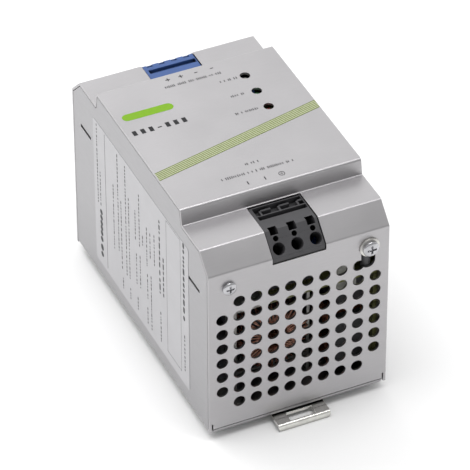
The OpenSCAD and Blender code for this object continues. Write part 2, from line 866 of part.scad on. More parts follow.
module pfc_choke_bracket() {
    inner = pfc_half + 0.1;
    low_y = pfc_mid[1] - pfc_strap_w / 2;
    high_y = pfc_mid[1] + pfc_strap_w / 2;
    color(plated) difference() {
        union() {
            for (z = [-inner - clip_t, inner]) {
                block([pfc_mid[0] - inner - clip_t, low_y, pfc_mid[2] + z],
                      [pfc_mid[0] + inner + clip_t, high_y, pfc_mid[2] + z + clip_t]);
            }
            for (x = [-inner - clip_t, inner]) {
                block([pfc_mid[0] + x, low_y, sheet],
                      [pfc_mid[0] + x + clip_t, high_y, pfc_mid[2] + inner + eps]);
            }
            block([choke_rivets[0][0] - 4, low_y, sheet], [pfc_mid[0] - inner - eps, high_y, sheet + clip_t]);
            block([pfc_mid[0] + inner + eps, low_y, sheet], [choke_rivets[1][0] + 4, high_y, sheet + clip_t]);
        }
        for (p = choke_rivets) {
            translate([p[0], p[1], -1]) cylinder(r = rivet_r + rivet_clear, h = 5);
        }
    }
}

module bridge_rectifier() {
    color(black) on_board(-24, 62, 3) {
        translate([-10, -1.8, 0]) cube([20, 3.6, 14]);
        for (i = [0:3]) {
            translate([-7.5 + i * 5, 0, -3]) cylinder(r = 0.5, h = 3 + eps);
        }
    }
}

// ---- Power stage ----

module can(r, h) {
    difference() {
        cylinder(r = r, h = h);
        for (a = [0, 60, 120]) {
            rotate([0, 0, a]) translate([-r * 0.6, -0.15, h - 0.3]) cube([r * 1.2, 0.3, 1]);
        }
        translate([0, 0, 2]) rotate_extrude() translate([r + 0.35, 0]) circle(r = 0.8);
    }
}

module bulk_capacitors() {
    color([0.12, 0.14, 0.22]) for (z = [15.5, 39]) {
        on_board(-9.5, z, 0.2) can(11, 40);
    }
}

module control_chips() {
    color(black) {
        for (z = [57.5, 68.5]) {
            on_board(-9.5, z, 0.6) translate([-4.8, -3.2, 0]) cube([9.6, 6.4, 3.3]);
        }
        on_board(33.5, 66, 0.6) translate([-2.3, -3.2, 0]) cube([4.6, 6.4, 3.3]);
    }
}

sink_y = [5.5, 50.5];

// Extruded aluminium plate with fins on one side
module heatsink(y, fin, top) {
    block([-12, y, 6], [31, y + 2.6, top]);
    for (i = [0:4]) {
        translate([-11 + i * 9, 0, 0]) block([0, min(y, y + fin), 6], [1.4, max(y + 2.6, y + 2.6 + fin), top]);
    }
}

module primary_heatsink() {
    color(aluminium) heatsink(sink_y[0], 3.5, 72);
}

module mosfet() {
    color(black) block([8, sink_y[0] - 4.6, 54.4], [24, sink_y[0] - 0.05, 71.6]);
}

module secondary_heatsink() {
    color(aluminium) heatsink(sink_y[1], 3.5, 52);
}

module output_diodes() {
    color(black) for (x = [0, 14]) {
        block([x, sink_y[1] - 4.5, 22], [x + 10.2, sink_y[1] - 0.05, 38]);
    }
}

// Transformer: ferrite frame round an upright coil
tr = [12, 29, 28];
tr_leg_r = 6.4;
tr_coil_r = 12.4;
tr_half_x = 18;
tr_half_z = 19;
tr_yoke = 5.6;

module transformer_core() {
    side_w = tr_half_x - tr_coil_r - 0.6;
    color(ferrite) translate(tr) {
        for (s = [-1, 1]) {
            translate([0, 0, s * (tr_half_z - tr_yoke / 2)])
                cube([2 * tr_half_x, 13, tr_yoke], center = true);
            translate([s * (tr_half_x - side_w / 2), 0, 0])
                cube([side_w, 13, 2 * tr_half_z - tr_yoke], center = true);
        }
        cylinder(r = tr_leg_r, h = 2 * tr_half_z - tr_yoke, center = true);
    }
}

module transformer_bobbin() {
    inner = tr_half_z - tr_yoke - 0.2;
    color([0.14, 0.14, 0.15]) translate(tr) difference() {
        union() {
            cylinder(r = tr_leg_r + 1.3, h = 2 * inner, center = true);
            for (s = [-1, 1]) {
                translate([0, 0, s * (inner - 0.6)]) cylinder(r = tr_coil_r + 0.3, h = 1.2, center = true);
            }
        }
        cylinder(r = tr_leg_r + 0.15, h = 60, center = true);
    }
}

module transformer_winding() {
    inner = tr_half_z - tr_yoke - 0.2 - 1.2;
    color([0.85, 0.72, 0.25]) translate(tr) difference() {
        cylinder(r = tr_coil_r - 0.4, h = 2 * inner - 0.1, center = true);
        cylinder(r = tr_leg_r + 1.35, h = 60, center = true);
    }
}

// ---- Output side ----

// Toroid with its winding drawn as separate turns round the ring
module output_choke() {
    ring_r = 8;
    on_board(25, 63, 9.6) {
        color([0.80, 0.70, 0.25]) rotate_extrude() translate([ring_r - 3, -4]) square([6, 8]);
        color(copper) for (i = [0:13]) {
            rotate([0, 0, i * 24]) translate([ring_r, 0, 0]) wire_turn(6.1, 8.1, 1.25);
        }
    }
}

module output_capacitors() {
    color([0.10, 0.12, 0.20]) for (y = [43.6, 54.2]) {
        on_board(y, 66.8, 0.2) can(5, 20);
    }
}

// ---- Indicator board ----

module indicator_board() {
    color(board_green) block([ind_board_x[0], ind_board_y[0], ind_board_z],
                             [ind_board_x[1], ind_board_y[1], ind_board_z + board_t]);
}

module trimmer_body() {
    color([0.16, 0.30, 0.58]) difference() {
        translate([indicator_x, adjust_y, (ind_board_z + board_t + trimmer_top_z) / 2])
            cube([6.6, 6.6, trimmer_top_z - ind_board_z - board_t], center = true);
        translate([indicator_x, adjust_y, trimmer_top_z - 3]) cylinder(r = 1.75, h = 4);
    }
}

module trimmer_rotor() {
    color([0.90, 0.90, 0.86]) translate([indicator_x, adjust_y, trimmer_top_z - 2.9]) difference() {
        cylinder(r = 1.7, h = 8);
        for (a = [0, 90]) {
            rotate([0, 0, a]) translate([-1.2, -0.25, 7.2]) cube([2.4, 0.5, 2]);
        }
    }
}

module lamp(y) {
    translate([indicator_x, y, ind_board_z + board_t]) {
        cylinder(r = 1.9, h = 6);
        cylinder(r = 1.5, h = 9.6);
        translate([0, 0, 9.6]) intersection() {
            sphere(r = 1.5);
            cylinder(r = 2, h = 2);
        }
    }
}

module led_dc_ok() {
    color([0.45, 0.75, 0.40]) lamp(lamp_y[0]);
}

module led_overload() {
    color([0.75, 0.20, 0.18]) lamp(lamp_y[1]);
}

chassis();
front_hood();
hood_screws();
earth_screw();
earth_washer();
earth_lug();
earth_nut();
earth_sleeve();
earth_wire();
rating_label();
rail_hooks();
foot_guides();
foot_slider();
foot_spring();
chassis_rivets();
input_housing();
input_busbars();
input_clamp(0);  // input_clamp_1
input_clamp(1);  // input_clamp_2
input_clamp(2);  // input_clamp_3
output_housing();
output_busbars();
output_clamp(0);  // output_clamp_1
output_clamp(1);  // output_clamp_2
output_clamp(2);  // output_clamp_3
output_clamp(3);  // output_clamp_4
input_board();
output_board();
board_links();
main_board();
board_standoffs();
board_screws();
insulation_sheet();
fuse();
fuse_clips();
x_capacitor();
varistor();
inrush_limiter();
filter_choke_core();
filter_choke_windings();
pfc_choke_core();
pfc_choke_winding();
pfc_choke_bracket();
bridge_rectifier();
bulk_capacitors();
control_chips();
mosfet();
primary_heatsink();
transformer_core();
transformer_bobbin();
transformer_winding();
output_diodes();
secondary_heatsink();
output_choke();
output_capacitors();
indicator_board();
trimmer_body();
trimmer_rotor();
led_dc_ok();
led_overload();
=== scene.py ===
"""Looks of a DIN rail power supply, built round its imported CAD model.

The sheet metal, the terminal housings, the rail hardware and the adjuster are shown as copies with
softened edges, and the other CAD nodes as they are. The print, the label's film, two windings, the
foot's spring and the solder are made here. Sizes are in millimetres until a mesh is made.
"""
import json
import math
import random

import bmesh
import bpy
from mathutils import Matrix, Vector


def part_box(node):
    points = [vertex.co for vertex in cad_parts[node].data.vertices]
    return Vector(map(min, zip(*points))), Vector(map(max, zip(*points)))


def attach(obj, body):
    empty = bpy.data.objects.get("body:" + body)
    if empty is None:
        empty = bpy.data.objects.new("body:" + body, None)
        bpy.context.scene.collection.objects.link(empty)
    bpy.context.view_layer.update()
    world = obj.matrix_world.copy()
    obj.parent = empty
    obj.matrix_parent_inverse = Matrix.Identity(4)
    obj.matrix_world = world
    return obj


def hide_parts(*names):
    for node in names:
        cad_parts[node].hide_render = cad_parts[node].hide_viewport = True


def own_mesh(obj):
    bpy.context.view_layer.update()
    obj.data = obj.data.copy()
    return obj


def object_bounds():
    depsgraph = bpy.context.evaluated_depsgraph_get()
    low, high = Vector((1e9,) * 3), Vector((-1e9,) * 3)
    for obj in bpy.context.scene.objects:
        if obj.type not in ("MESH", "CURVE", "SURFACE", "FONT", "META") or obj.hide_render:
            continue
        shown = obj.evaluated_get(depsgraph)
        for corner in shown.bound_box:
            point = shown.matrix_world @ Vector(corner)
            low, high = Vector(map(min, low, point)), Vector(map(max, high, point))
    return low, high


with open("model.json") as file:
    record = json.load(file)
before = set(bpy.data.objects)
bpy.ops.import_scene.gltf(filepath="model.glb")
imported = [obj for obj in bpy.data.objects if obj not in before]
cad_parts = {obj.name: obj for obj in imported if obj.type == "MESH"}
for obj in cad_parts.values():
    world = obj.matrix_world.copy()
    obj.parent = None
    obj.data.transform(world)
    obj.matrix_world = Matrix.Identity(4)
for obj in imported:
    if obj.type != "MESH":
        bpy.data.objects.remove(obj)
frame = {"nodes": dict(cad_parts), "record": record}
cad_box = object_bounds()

MM = 0.001


# ---- Node materials ----

class Shader:
    """A node material being wired. Its methods add nodes and return an output socket."""

    def __init__(self, name, **fixed):
        self.material = bpy.data.materials.new(name)
        self.material.use_nodes = True
        self.tree = self.material.node_tree
        self.bsdf = self.tree.nodes["Principled BSDF"]
        for key, value in fixed.items():
            self.feed(self.bsdf.inputs[key.replace("_", " ")], value)
        self.place = self.add("ShaderNodeTexCoord").outputs["Object"]

    def feed(self, socket, value):
        if isinstance(value, bpy.types.NodeSocket):
            self.tree.links.new(value, socket)
        else:
            socket.default_value = value

    def add(self, kind, inputs=None, **settings):
        node = self.tree.nodes.new(kind)
        for key, value in settings.items():
            setattr(node, key, value)
        for key, value in (inputs or {}).items():
            self.feed(node.inputs[key], value)
        return node

    def math(self, operation, a, b):
        return self.add("ShaderNodeMath", {0: a, 1: b}, operation=operation).outputs[0]

    def stretched(self, stretch):
        node = self.add("ShaderNodeMapping", {"Vector": self.place, "Scale": stretch})
        return node.outputs[0]

    def noise(self, size, detail=3.0, stretch=(1, 1, 1), rough=0.55):
        """Noise whose blobs are about size millimetres, and longer where stretch is small."""
        node = self.add("ShaderNodeTexNoise",
                        {"Vector": self.stretched(stretch), "Scale": 1 / (size * MM),
                         "Detail": detail, "Roughness": rough})
        return node.outputs["Fac"]

    def spread(self, value, low, high, to_low=0.0, to_high=1.0):
        node = self.add("ShaderNodeMapRange",
                        {"Value": value, "From Min": low, "From Max": high,
                         "To Min": to_low, "To Max": to_high}, clamp=True)
        return node.outputs[0]

    def mix(self, factor, a, b):
        node = self.add("ShaderNodeMix", data_type="RGBA")
        self.feed(node.inputs[0], factor)
        for index, colour in ((6, a), (7, b)):
            is_socket = isinstance(colour, bpy.types.NodeSocket)
            self.feed(node.inputs[index], colour if is_socket else (*colour, 1))
        return node.outputs[2]

    def edges(self, radius):
        """About 1 along convex and concave edges, 0 on open faces."""
        rounded = self.add("ShaderNodeBevel", {"Radius": radius * MM}, samples=6).outputs[0]
        flat = self.add("ShaderNodeNewGeometry").outputs["Normal"]
        dot = self.add("ShaderNodeVectorMath", {0: rounded, 1: flat}, operation="DOT_PRODUCT")
        return self.spread(dot.outputs["Value"], 0.995, 0.90)

    def hollow(self, reach, low=0.25, high=0.8):
        """1 on open faces, falling to 0 in holes and slots about reach millimetres across."""
        shade_node = self.add("ShaderNodeAmbientOcclusion", {"Distance": reach * MM}, samples=8)
        return self.spread(shade_node.outputs["AO"], low, high)

    def bump(self, height, depth, strength=1.0):
        inputs = {"Height": height, "Distance": depth * MM, "Strength": strength}
        return self.add("ShaderNodeBump", inputs).outputs[0]

    def finish(self, colour=None, rough=None, normal=None):
        for key, value in (("Base Color", colour), ("Roughness", rough), ("Normal", normal)):
            if value is not None:
                self.feed(self.bsdf.inputs[key], value)
        return self.material


def tone(colour, gain):
    """The colour made lighter or darker."""
    return tuple(min(1.0, c * gain) for c in colour)


def sheet_metal(name, colour, rough, grain, worn=0.35):
    """Satin rolled sheet: fine grain along one axis, faint cloudiness, brighter rubbed edges and
    painted shade in seams, holes and crevices.
    """
    s = Shader(name, Metallic=1.0)
    fine = s.noise(0.16, 4.0, grain)
    cloud = s.noise(22, 2.0)
    speck = s.noise(0.5, 2.0)
    mixed = s.mix(s.spread(cloud, 0.3, 0.7), tone(colour, 0.965), tone(colour, 1.02))
    mixed = s.mix(s.spread(fine, 0.35, 0.7, 0.0, 0.22), mixed, tone(colour, 0.86))
    edge = s.edges(0.22)
    rubbed = s.math("MULTIPLY", edge, s.spread(speck, 0.35, 0.6, worn * 0.5, worn))
    mixed = s.mix(rubbed, mixed, tone(colour, 1.25))
    # Painted shade: within about 0.9 mm of seams, hole rims and crevices the colour falls towards
    # three tenths.
    mixed = s.mix(s.hollow(0.9, 0.1, 0.5), tone(colour, 0.3), mixed)
    roughness = s.spread(s.math("ADD", fine, s.math("MULTIPLY", cloud, 0.6)), 0.5, 1.1,
                         rough - 0.05, rough + 0.07)
    roughness = s.math("SUBTRACT", roughness, s.math("MULTIPLY", rubbed, 0.15))
    return s.finish(mixed, roughness, s.bump(fine, 0.012, 0.5))


def plated_metal(name, colour, rough, worn=0.4, shade=0.0):
    """Plated small hardware: slight orange peel, dull patches and bright edges.

    With shade, a reach in millimetres, painted shade darkens what lies close to another surface.
    """
    s = Shader(name, Metallic=1.0)
    patch = s.noise(3.5, 3.0)
    peel = s.noise(0.35, 2.0)
    edge = s.edges(0.15)
    mixed = s.mix(s.spread(patch, 0.35, 0.68), tone(colour, 0.82), colour)
    mixed = s.mix(s.math("MULTIPLY", edge, worn), mixed, tone(colour, 1.3))
    # Painted shade: close to other surfaces the colour falls towards a tenth.
    if shade:
        mixed = s.mix(s.hollow(shade, 0.42, 0.82), tone(colour, 0.1), mixed)
    roughness = s.spread(patch, 0.3, 0.7, rough + 0.1, rough - 0.04)
    return s.finish(mixed, roughness, s.bump(peel, 0.012, 0.5))


def moulded(name, colour, rough, grain=0.3, worn=0.3, depth=0.02, dark_holes=0.0):
    """Moulded plastic with an eroded-tool texture, pale rubbed edges and uneven gloss.

    With dark_holes, the reach in millimetres, painted shade darkens holes and slots.
    """
    s = Shader(name)
    texture = s.noise(grain, 3.0)
    cloud = s.noise(7, 3.0)
    edge = s.edges(0.18)
    mixed = s.mix(s.spread(cloud, 0.3, 0.7), tone(colour, 0.88), tone(colour, 1.08))
    mixed = s.mix(s.spread(texture, 0.3, 0.75, 0.0, 0.35), mixed, tone(colour, 0.75))
    pale = tuple(c * 0.8 + 0.14 for c in colour)
    mixed = s.mix(s.math("MULTIPLY", edge, worn), mixed, pale)
    # Painted shade: in holes and slots the colour falls towards six hundredths.
    if dark_holes:
        mixed = s.mix(s.hollow(dark_holes), tone(colour, 0.06), mixed)
    roughness = s.spread(texture, 0.3, 0.7, rough - 0.08, rough + 0.1)
    return s.finish(mixed, roughness, s.bump(texture, depth, 0.6))


def sintered(name, colour):
    """Ferrite core: dull, granular and chipped at its edges."""
    s = Shader(name)
    grain = s.noise(0.25, 5.0, rough=0.7)
    cloud = s.noise(4, 3.0)
    chips = s.math("MULTIPLY", s.edges(0.4), s.spread(s.noise(0.9, 3.0), 0.45, 0.62))
    mixed = s.mix(s.spread(cloud, 0.3, 0.7), tone(colour, 0.8), tone(colour, 1.2))
    mixed = s.mix(chips, mixed, tone(colour, 2.2))
    return s.finish(mixed, s.spread(grain, 0.3, 0.7, 0.5, 0.75), s.bump(grain, 0.03, 0.8))


def enamelled(name, colour):
    """Enamelled copper wire: metal under varnish, with runs and darker patches."""
    s = Shader(name, Metallic=0.85, Coat_Weight=0.5, Coat_Roughness=0.15)
    runs = s.noise(1.8, 3.0)
    fine = s.noise(0.2, 2.0)
    mixed = s.mix(s.spread(runs, 0.35, 0.7), tone(colour, 0.6), colour)
    mixed = s.mix(s.spread(fine, 0.5, 0.8, 0.0, 0.3), mixed, tone(colour, 1.4))
    return s.finish(mixed, s.spread(fine, 0.3, 0.7, 0.22, 0.38), s.bump(fine, 0.01))


def solder_mask(name, colour):
    """Circuit board: green mask over copper tracks that show as slightly raised, lighter runs."""
    s = Shader(name, Coat_Weight=0.3, Coat_Roughness=0.2)
    cells = {"Vector": s.place, "Scale": 1 / (4.5 * MM), "Randomness": 0.75}
    runs = s.add("ShaderNodeTexVoronoi", cells, distance="CHEBYCHEV").outputs["Distance"]
    gap = s.spread(s.math("ABSOLUTE", s.math("SUBTRACT", runs, 0.42), 0), 0.03, 0.07)
    weave = s.noise(0.5, 2.0)
    mixed = s.mix(gap, tone(colour, 0.6), tone(colour, 1.15))
    mixed = s.mix(s.spread(weave, 0.4, 0.7, 0.0, 0.35), mixed, tone(colour, 0.75))
    height = s.math("ADD", gap, s.math("MULTIPLY", weave, 0.3))
    return s.finish(mixed, s.spread(weave, 0.3, 0.7, 0.3, 0.45), s.bump(height, 0.03))


def film(name, colour, rough, gloss=0.2):
    """Printed film or sleeve: almost even colour, faint waviness and a soft sheen."""
    s = Shader(name, Coat_Weight=gloss, Coat_Roughness=0.25)
    wave = s.noise(9, 2.0)
    fibre = s.noise(0.22, 3.0)
    mixed = s.mix(s.spread(wave, 0.3, 0.7), tone(colour, 0.96), tone(colour, 1.02))
    mixed = s.mix(s.spread(fibre, 0.45, 0.75, 0.0, 0.18), mixed, tone(colour, 0.8))
    height = s.math("ADD", wave, s.math("MULTIPLY", fibre, 0.1))
    roughness = s.spread(fibre, 0.3, 0.7, rough - 0.06, rough + 0.06)
    return s.finish(mixed, roughness, s.bump(height, 0.03, 0.5))


def ink(name, colour):
    """Screen-printed ink: thin, slightly broken where the metal's grain shows through."""
    s = Shader(name, Specular_IOR_Level=0.2)
    broken = s.noise(0.12, 3.0)
    cloud = s.noise(1.4, 2.0)
    pale = tuple(c * 0.8 + 0.05 for c in colour)
    mixed = s.mix(s.spread(broken, 0.5, 0.75, 0.0, 0.4), colour, pale)
    mixed = s.mix(s.spread(cloud, 0.4, 0.7, 0.0, 0.2), mixed, tone(colour, 1.3))
    return s.finish(mixed, s.spread(broken, 0.3, 0.7, 0.42, 0.6), s.bump(broken, 0.006))


def lens(name, colour, glow):
    """Tinted lamp lens: clear body with a diffused core and moulding swirl."""
    s = Shader(name, Transmission_Weight=0.35, IOR=1.49, Coat_Weight=0.6, Coat_Roughness=0.05)
    swirl = s.noise(0.9, 3.0)
    mixed = s.mix(s.spread(swirl, 0.3, 0.7), tone(colour, 0.7), tone(colour, 1.25))
    s.feed(s.bsdf.inputs["Emission Color"], (*colour, 1))
    s.feed(s.bsdf.inputs["Emission Strength"], glow)
    return s.finish(mixed, s.spread(swirl, 0.3, 0.7, 0.08, 0.2), s.bump(swirl, 0.01))


def clear_glass(name, colour):
    """A fuse's glass tube with a little dust."""
    s = Shader(name, Transmission_Weight=0.9, IOR=1.5)
    dust = s.noise(0.6, 3.0)
    return s.finish(s.mix(dust, tone(colour, 0.9), colour), s.spread(dust, 0.4, 0.8, 0.02, 0.2),
                    s.bump(dust, 0.004))


# Which way the sheets' grain runs
ALONG_X = (0.03, 1, 1)
ALONG_Y = (1, 0.03, 1)
ALONG_Z = (1, 1, 0.05)

# The look of each material slot of the record
LOOKS = {
    "case_metal": sheet_metal("case_satin", (0.447, 0.438, 0.448), 0.37, ALONG_X),
    "chassis_metal": sheet_metal("chassis_satin", (0.40, 0.395, 0.405), 0.40, ALONG_Y),
    "zinc_screw": plated_metal("zinc_bright", (0.55, 0.55, 0.57), 0.17),
    "plated_steel": plated_metal("nickel_dull", (0.66, 0.65, 0.62), 0.3),
    # shade=2.2 paints shade on the clip steel next to the case.
    "clip_steel": plated_metal("nickel_bright", (0.84, 0.83, 0.79), 0.13, worn=0.2, shade=2.2),
    "spring_steel": plated_metal("spring_wire", (0.48, 0.48, 0.50), 0.25),
    "rivet_steel": plated_metal("rivet_head", (0.60, 0.60, 0.61), 0.32),
    "label_film": film("label_silver", (0.44, 0.435, 0.45), 0.42),
    # dark_holes paints shade into the housings' holes, slots and recesses.
    "block_dark": moulded("polyamide_dark", (0.045, 0.044, 0.048), 0.5, dark_holes=2.6),
    "block_blue": moulded("polyamide_blue", (0.030, 0.082, 0.255), 0.45, worn=0.15,
                          dark_holes=2.6),
    "busbar_copper": plated_metal("tinned_copper", (0.68, 0.52, 0.42), 0.3),
    "clamp_steel": plated_metal("clamp_spring", (0.46, 0.46, 0.47), 0.3),
    "board_green": solder_mask("mask_green", (0.17, 0.175, 0.065)),
    "pin_tin": plated_metal("tin_pin", (0.62, 0.62, 0.62), 0.28),
    "standoff_brass": plated_metal("brass_turned", (0.66, 0.50, 0.25), 0.24),
    "insulator": film("fish_paper", (0.60, 0.57, 0.44), 0.6, 0.0),
    "fuse_glass": clear_glass("fuse_glass", (0.85, 0.92, 0.90)),
    "box_grey": moulded("capacitor_box", (0.020, 0.020, 0.023), 0.45),
    "disc_blue": moulded("disc_blue", (0.04, 0.10, 0.36), 0.25, 0.6),
    "disc_green": moulded("disc_green", (0.03, 0.11, 0.05), 0.3, 0.6),
    "ferrite": sintered("ferrite", (0.055, 0.055, 0.058)),
    "enamel_copper": enamelled("enamelled_copper", (0.26, 0.085, 0.035)),
    "chip_black": moulded("epoxy_black", (0.022, 0.022, 0.024), 0.5, 0.25),
    "can_navy": film("sleeve_navy", (0.035, 0.045, 0.11), 0.3, 0.5),
    "sink_aluminium": sheet_metal("extruded_aluminium", (0.62, 0.62, 0.63), 0.36, ALONG_Z),
    "bobbin": moulded("bobbin_cream", (0.50, 0.46, 0.32), 0.5),
    "tape_yellow": film("tape_yellow", (0.68, 0.50, 0.09), 0.3, 0.4),
    "sleeve_black": moulded("heat_shrink", (0.055, 0.055, 0.06), 0.45, 0.6),
    "wire_green": moulded("wire_jacket", (0.10, 0.30, 0.05), 0.4, 0.8),
    "nylon_white": moulded("nylon_white", (0.56, 0.56, 0.52), 0.45),
    # dark_holes paints the trimmer, seen through the hood's holes, dark with shade.
    "trimmer_blue": moulded("trimmer_blue", (0.04, 0.14, 0.46), 0.35, dark_holes=3.0),
    "trimmer_white": moulded("trimmer_white", (0.50, 0.49, 0.45), 0.4, dark_holes=3.0),
    "lens_green": lens("lens_green", (0.02, 0.12, 0.035), 0.03),
    "lens_red": lens("lens_red", (0.16, 0.014, 0.01), 0.02),
}
INK_DARK = ink("ink_dark", (0.014, 0.014, 0.016))
INK_GREEN = ink("ink_green", (0.16, 0.33, 0.008))
INK_OLIVE = ink("ink_olive", (0.13, 0.17, 0.03))
INK_PALE = ink("ink_pale", (0.42, 0.44, 0.31))
INK_LABEL = ink("ink_label", (0.035, 0.035, 0.038))
SOLDER = plated_metal("solder", (0.60, 0.61, 0.63), 0.2)
ENAMEL_ROSE = enamelled("enamelled_rose", (0.78, 0.40, 0.29))

SLOT_OF = {part["node"]: part["material_slot"] for part in frame["record"]["subparts"]}
BODY_OF = {node: body for body, nodes in frame["record"]["behaviour"]["bodies"].items()
           for node in nodes}


# ---- Pieces ----

# Vertices of the CAD closer than this are one vertex, and faces closer in angle are one face
WELD, FLAT_ANGLE = 0.0005, 0.4
# Edges sharper than this, in degrees, are the real edges of a CAD node
SHARP_ANGLE = 32


def corners_mm(node):
    """The lowest and highest corners of a CAD node, in millimetres."""
    return (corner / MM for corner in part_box(node))


def shade(mesh, angle):
    """Smooth shading, with edges sharper than an angle in degrees kept sharp."""
    for polygon in mesh.polygons:
        polygon.use_smooth = True
    mesh.set_sharp_from_angle(angle=math.radians(angle))


def new_piece(name, mesh, material, body="case"):
    """A mesh, in metres, as a piece that rides on a body."""
    obj = bpy.data.objects.new(name, mesh)
    bpy.context.scene.collection.objects.link(obj)
    mesh.materials.clear()
    mesh.materials.append(material)
    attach(obj, body)
    return obj


def piece_from(name, bm, material, smooth=30):
    """A bmesh in millimetres as a piece of the case, smooth across edges under an angle."""
    bmesh.ops.scale(bm, vec=(MM, MM, MM), verts=bm.verts)
    mesh = bpy.data.meshes.new(name)
    bm.to_mesh(mesh)
    bm.free()
    shade(mesh, smooth)
    return new_piece(name, mesh, material)


def soften(obj, width):
    """A bevel on the real edges, with the flats kept flat by weighted normals."""
    bevel = obj.modifiers.new("soft_edges", "BEVEL")
    bevel.width = width * MM
    bevel.segments = 2
    bevel.limit_method = "ANGLE"
    bevel.angle_limit = math.radians(SHARP_ANGLE)
    bevel.miter_outer = "MITER_ARC"
    bevel.use_clamp_overlap = True
    normals = obj.modifiers.new("flat_faces", "WEIGHTED_NORMAL")
    normals.keep_sharp = True


def refined(node, width):
    """A CAD node shown as a copy with softened edges and its slot's finish.

    The triangles of its flat faces are joined up first, except on the terminal housings.
    """
    bm = bmesh.new()
    bm.from_mesh(frame["nodes"][node].data)
    bmesh.ops.remove_doubles(bm, verts=bm.verts, dist=WELD * MM)
    if "housing" not in node:
        bmesh.ops.dissolve_limit(bm, angle_limit=math.radians(FLAT_ANGLE), verts=bm.verts,
                                 edges=bm.edges)
    mesh = bpy.data.meshes.new(node + "_fine")
    bm.to_mesh(mesh)
    bm.free()
    shade(mesh, SHARP_ANGLE)
    slot = SLOT_OF[node]
    piece = new_piece(node + "_fine", mesh, LOOKS[slot], BODY_OF[node])
    soften(piece, width)
    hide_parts(node)


def kept(node):
    """A CAD node that stays, in its slot's finish."""
    mesh = frame["nodes"][node].data
    mesh.materials.clear()
    mesh.materials.append(LOOKS[SLOT_OF[node]])


# ---- Print ----

FRONT_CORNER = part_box("front_hood")[1] / MM
HALF_W, FRONT_Z = FRONT_CORNER.x, FRONT_CORNER.z
# How thick ink is, and how thick where another stroke crosses it
INK_T = 0.03
INK_UNDER_T = INK_T * 0.9


def flat_outline(bm, points, base, u, v, depth):
    """A thin prism on a plane: points are (u, v) from base, and it stands up by depth."""
    out = u.cross(v).normalized()
    low = [bm.verts.new(base + u * a + v * b) for a, b in points]
    high = [bm.verts.new(vert.co + out * depth) for vert in low]
    bm.faces.new(high)
    bm.faces.new(low[::-1])
    for i in range(len(low)):
        j = (i + 1) % len(low)
        bm.faces.new((low[i], low[j], high[j], high[i]))


def capsule(length, width, steps=6):
    """Outline of a bar with round ends, centred on 0, 0, and no shorter than it is wide."""
    r = width / 2
    reach = max(length / 2 - r, 0)
    right = [(reach + r * math.cos(a), r * math.sin(a))
             for a in (math.pi * (i / steps - 0.5) for i in range(steps + 1))]
    return right + [(-x, -y) for x, y in right]


def ring(radius, width, steps=28):
    """Outlines of the segments of a flat ring."""
    angles = [2 * math.pi * i / steps for i in range(steps + 1)]
    inner, outer = radius - width / 2, radius + width / 2
    for a, b in zip(angles, angles[1:]):
        yield [(r * math.cos(t), r * math.sin(t))
               for r, t in ((outer, a), (outer, b), (inner, b), (inner, a))]


class Print:
    """Ink on one flat face: u runs along the lines of print, v up the page."""

    def __init__(self, origin, u, v):
        self.bm = bmesh.new()
        self.origin, self.u, self.v = Vector(origin), Vector(u), Vector(v)

    def shape(self, x, y, points, depth=INK_T):
        base = self.origin + self.u * x + self.v * y
        flat_outline(self.bm, points, base, self.u, self.v, depth)

    def bar(self, x, y, length, width):
        self.shape(x, y, capsule(length, width))

    def box(self, x, y, length, width, depth=INK_T):
        a, b = length / 2, width / 2
        self.shape(x, y, [(-a, -b), (a, -b), (a, b), (-a, b)], depth)

    def dashes(self, x0, x1, y, width, dice, mean, gap):
        """A line of plain dashes between x0 and x1 that stands for a line of small print."""
        x = x0
        while x < x1 - 0.3:
            length = min(mean * dice.uniform(0.55, 1.6), x1 - x)
            self.bar(x + length / 2, y, length, width)
            x += length + gap * dice.choice((1, 1, 1, 2.2))

    def strokes(self, x0, x1, y, height, dice):
        """A row of plain upright strokes between x0 and x1 that stands for a line of wording."""
        margin, width = 0.2, 0.34
        x = x0 + margin
        while x < x1 - margin:
            self.box(x, y, width, height * dice.choice((1, 1, 0.8, 0.7)))
            x += dice.choice((0.72, 0.8, 0.95, 1.7))

    def done(self, name, material):
        piece_from(name, self.bm, material, smooth=20)


# Marks on the front face, by the place of their middles: x across the face, y up it
PLUS_SIGNS = [(-8.8, 36.3), (-3.3, 36.3)]
MINUS_SIGNS = [(3.1, 36.1), (9.8, 36.1)]
POLE_MARKS = [(-7.7, -35.7), (-0.6, -35.7)]
SIGN_STROKE = 0.42
EARTH_X, EARTH_Y = 6.3, -35.7
EARTH_BARS = [(-35.55, 1.1), (-35.9, 0.7), (-36.25, 0.3)]
# Lines of wording: left end, right end, place up the face and height
FRONT_WORDING = [
    (-11.8, 11.9, 32.0, 1.5), (9.0, 16.3, 26.4, 1.4), (8.9, 15.9, 16.0, 1.4),
    (5.9, 16.2, 5.1, 1.4), (-4.0, 2.9, -25.0, 1.4), (-16.1, 15.3, -30.1, 1.5),
]
# The row of blocks that stands for the type number, with a dash in its middle
BLOCKS, BLOCK_X, BLOCK_PITCH, BLOCK_DASH = 7, -34.1, 3.45, 3
# The slanting band of lines on its paler ground
BAND_Y, BAND_SLOPE, BAND_INSET = -10.0, 0.222, 0.2
BAND_GROUND_W, BAND_LINE_W = 4.6, 0.4
BAND_LINES = [(row - 2.5) * 0.9 for row in range(6)]


def front_page():
    """An empty Print on the front face."""
    return Print((0, 0, FRONT_Z), (1, 0, 0), (0, 1, 0))


